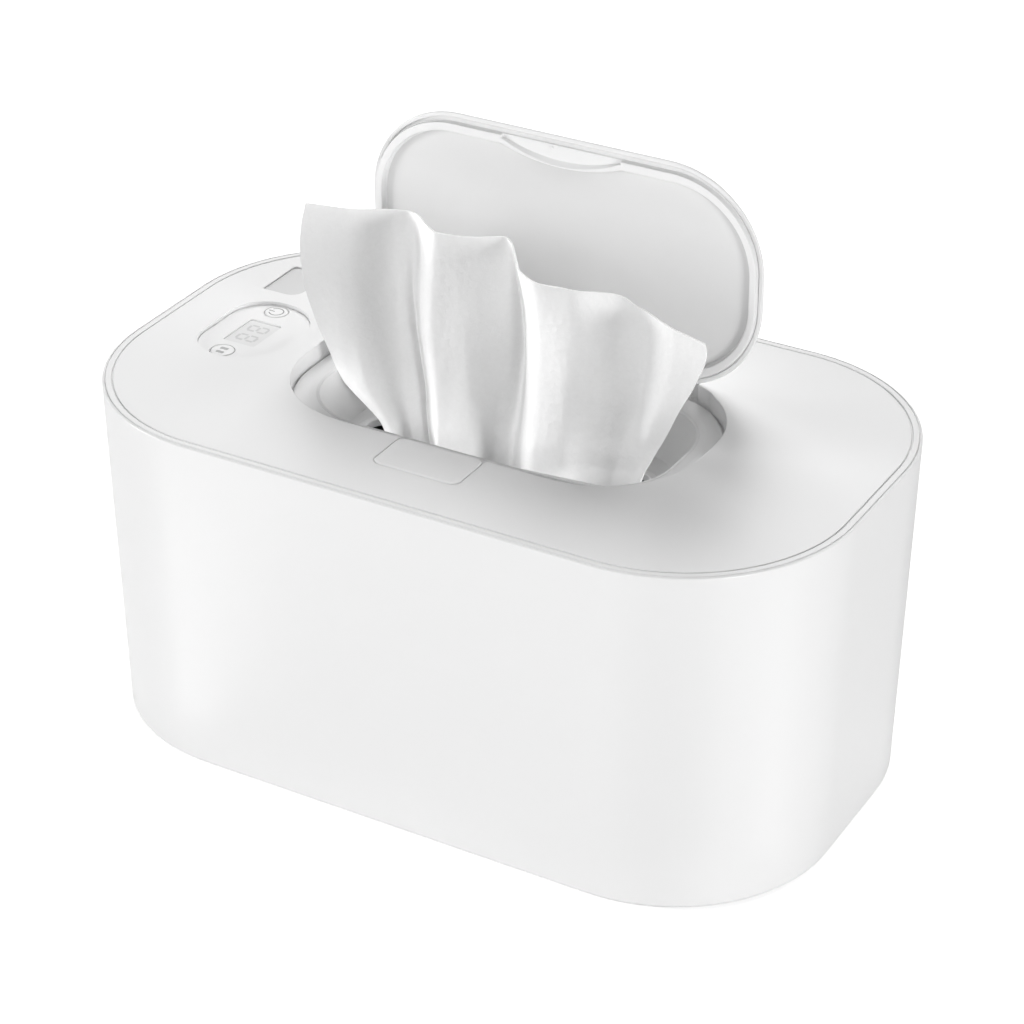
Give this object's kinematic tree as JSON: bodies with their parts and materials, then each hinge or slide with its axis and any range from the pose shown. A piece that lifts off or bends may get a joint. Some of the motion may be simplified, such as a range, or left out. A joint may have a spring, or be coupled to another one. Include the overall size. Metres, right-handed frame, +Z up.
{
  "type": "baby wipe warmer",
  "caption": "Countertop baby wipe warmer: heated tank in a rounded casing, lift-off cover with a press-release flip lid, a wipe in its slot, and a small display with two keys.",
  "frame": {"origin": "centre of the footprint, on the plane the rubber feet stand on", "axes": "+Z up, +X along the long side towards the end without controls, +Y towards the lid's hinge"},
  "size_m": [0.2214, 0.1324, 0.168],
  "materials": {
    "shell_gloss": "gloss white moulding",
    "cover_satin": "satin white moulding",
    "inner_white": "satin white moulding",
    "lid_white": "semi-gloss white moulding",
    "tank_grey": "matt light grey moulding",
    "silicone": "translucent white silicone",
    "foot_rubber": "matt grey rubber",
    "foam": "closed-cell foam",
    "film": "amber polyimide film",
    "board_green": "solder-masked board",
    "black_plastic": "black moulded parts",
    "lens_grey": "frosted grey lens",
    "window_white": "milky display window",
    "wire_red": "insulated wire",
    "steel": "zinc-plated steel",
    "contact_brass": "plated brass",
    "wipe_cloth": "soft non-woven cloth"
  },
  "bodies": {
    "base": {"outer_shell": "shell_gloss", "base_plate": "inner_white", "rubber_feet": "foot_rubber", "base_screws": "steel", "inner_tank": "tank_grey", "heater_film": "film", "insulation_foam": "foam", "floor_insulation": "foam", "thermistor": "black_plastic", "thermal_fuse": "steel", "power_board": "board_green", "board_components": "black_plastic", "board_screws": "steel", "dc_inlet": "black_plastic", "wire_harness": "wire_red", "contact_block": "black_plastic", "contact_pins": "contact_brass"},
    "cover": {"cover_frame": "cover_satin", "top_panel": "cover_satin", "cover_screws": "steel", "cover_gasket": "silicone", "throat_tray": "inner_white", "tray_screws": "steel", "slot_lips": "silicone", "latch_retainer": "inner_white", "button_springs": "steel", "hinge_pin": "steel", "lid_spring": "steel", "night_light_lens": "lens_grey", "display_board": "board_green", "display_module": "black_plastic", "display_window": "window_white", "display_screws": "steel", "key_switches": "black_plastic", "display_leads": "inner_white", "contact_pads": "contact_brass", "wipe": "wipe_cloth"},
    "lid": {"lid_shell": "lid_white", "lid_liner": "lid_white", "lid_seal": "silicone"},
    "button": {"release_button": "cover_satin"},
    "latch": {"latch_slider": "inner_white"},
    "key_power": {"power_key": "cover_satin"},
    "key_mode": {"mode_key": "cover_satin"}
  },
  "joints": [
    {"name": "cover_lift", "type": "slide", "parent": "base", "child": "cover", "axis": [0, 0, 1], "range_m": [0, 0.08]},
    {"name": "lid_hinge", "type": "hinge", "parent": "cover", "child": "lid", "pos_m": [0, 0.033, 0.102], "axis": [1, 0, 0], "range_deg": [0, 89], "stiffness_Nm_per_rad": 0.006, "springref_deg": -114.59, "deforming": ["wipe"]},
    {"name": "release_press", "type": "slide", "parent": "cover", "child": "button", "axis": [0, 0, -1], "range_m": [0, 0.001], "stiffness_N_per_m": 400, "springref_m": -0.002, "deforming": ["button_springs"]},
    {"name": "latch_slide", "type": "slide", "parent": "cover", "child": "latch", "axis": [0, -1, 0], "range_m": [0, 0.0014]},
    {"name": "power_key_press", "type": "slide", "parent": "cover", "child": "key_power", "axis": [0, 0, -1], "range_m": [0, 0.0004], "stiffness_N_per_m": 800, "springref_m": -0.0005},
    {"name": "mode_key_press", "type": "slide", "parent": "cover", "child": "key_mode", "axis": [0, 0, -1], "range_m": [0, 0.0004], "stiffness_N_per_m": 800, "springref_m": -0.0005}
  ],
  "couplings": [
    {"joint": "latch_slide", "follows": "release_press", "ratio": 1.4}
  ]
}
